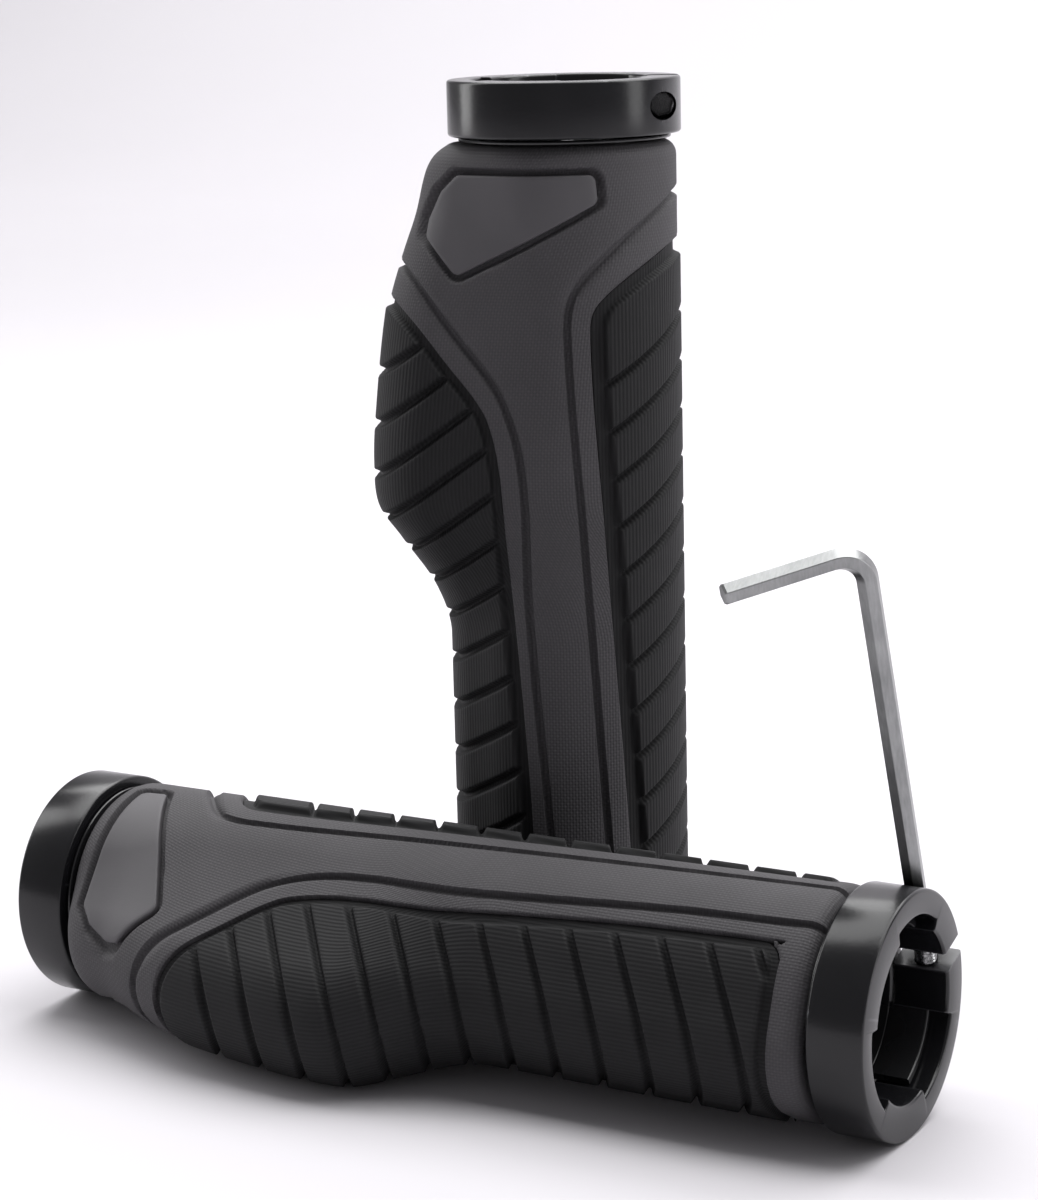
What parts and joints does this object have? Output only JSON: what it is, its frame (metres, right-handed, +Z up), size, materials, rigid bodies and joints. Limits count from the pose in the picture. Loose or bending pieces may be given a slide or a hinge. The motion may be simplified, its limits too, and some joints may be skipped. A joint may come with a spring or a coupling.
{
  "type": "bicycle handlebar grips",
  "caption": "Pair of lock-on bicycle handlebar grips with a palm wing and split clamp rings, with the hex key that tightens them.",
  "frame": {"origin": "middle of the footprint, on the surface the pair stands on", "axes": "+Z up, +X along the lying grip toward its inboard ring, +Y from the lying grip toward the standing one"},
  "size_m": [0.1302, 0.0742, 0.1302],
  "materials": {
    "grey_rubber": "matt, fine woven texture",
    "black_rubber": "matt, ribbed",
    "smooth_rubber": "smooth satin",
    "sleeve_nylon": "moulded, glossy",
    "ring_aluminium": "black anodised, satin",
    "screw_steel": "bright zinc",
    "key_steel": "satin nickel"
  },
  "bodies": {
    "lying_grip": {"lying_rubber_body": "grey_rubber", "lying_palm_pad": "black_rubber", "lying_finger_pad": "black_rubber", "lying_upper_inlay": "smooth_rubber", "lying_lower_inlay": "smooth_rubber", "lying_core_sleeve": "sleeve_nylon"},
    "standing_grip": {"standing_rubber_body": "grey_rubber", "standing_palm_pad": "black_rubber", "standing_finger_pad": "black_rubber", "standing_upper_inlay": "smooth_rubber", "standing_lower_inlay": "smooth_rubber", "standing_core_sleeve": "sleeve_nylon"},
    "lying_inboard_ring": {"lying_inboard_ring": "ring_aluminium"},
    "lying_inboard_screw": {"lying_inboard_screw": "screw_steel"},
    "lying_outboard_ring": {"lying_outboard_ring": "ring_aluminium"},
    "lying_outboard_screw": {"lying_outboard_screw": "screw_steel"},
    "standing_inboard_ring": {"standing_inboard_ring": "ring_aluminium"},
    "standing_inboard_screw": {"standing_inboard_screw": "screw_steel"},
    "standing_outboard_ring": {"standing_outboard_ring": "ring_aluminium"},
    "standing_outboard_screw": {"standing_outboard_screw": "screw_steel"},
    "hex_key": {"hex_key": "key_steel"}
  },
  "joints": [
    {"name": "standing_grip_lift", "type": "slide", "parent": "lying_grip", "child": "standing_grip", "axis": [0, 0, 1], "range_m": [0, 0.15]},
    {"name": "lying_inboard_ring_pull", "type": "slide", "parent": "lying_grip", "child": "lying_inboard_ring", "axis": [1, 0, 0], "range_m": [0, 0.012]},
    {"name": "lying_inboard_screw_turn", "type": "hinge", "parent": "lying_inboard_ring", "child": "lying_inboard_screw", "pos_m": [0.0613, 0.00193, 0.02035], "axis": [0, -0.3295, 0.9442], "continuous": true},
    {"name": "lying_outboard_ring_pull", "type": "slide", "parent": "lying_grip", "child": "lying_outboard_ring", "axis": [-1, 0, 0], "range_m": [0, 0.012]},
    {"name": "lying_outboard_screw_turn", "type": "hinge", "parent": "lying_outboard_ring", "child": "lying_outboard_screw", "pos_m": [-0.0613, 0.00193, 0.02035], "axis": [0, -0.3295, 0.9442], "continuous": true},
    {"name": "standing_inboard_ring_pull", "type": "slide", "parent": "standing_grip", "child": "standing_inboard_ring", "axis": [0, 0, -1], "range_m": [0, 0.012]},
    {"name": "standing_inboard_screw_turn", "type": "hinge", "parent": "standing_inboard_ring", "child": "standing_inboard_screw", "pos_m": [0.01096, 0.02789, 0.0038], "axis": [0.509, -0.8607, 0], "continuous": true},
    {"name": "standing_outboard_ring_pull", "type": "slide", "parent": "standing_grip", "child": "standing_outboard_ring", "axis": [0, 0, 1], "range_m": [0, 0.012]},
    {"name": "standing_outboard_screw_turn", "type": "hinge", "parent": "standing_outboard_ring", "child": "standing_outboard_screw", "pos_m": [0.01096, 0.02789, 0.1264], "axis": [0.509, -0.8607, 0], "continuous": true},
    {"name": "hex_key_pull", "type": "slide", "parent": "lying_inboard_screw", "child": "hex_key", "axis": [0, -0.3295, 0.9442], "range_m": [0, 0.03]}
  ]
}
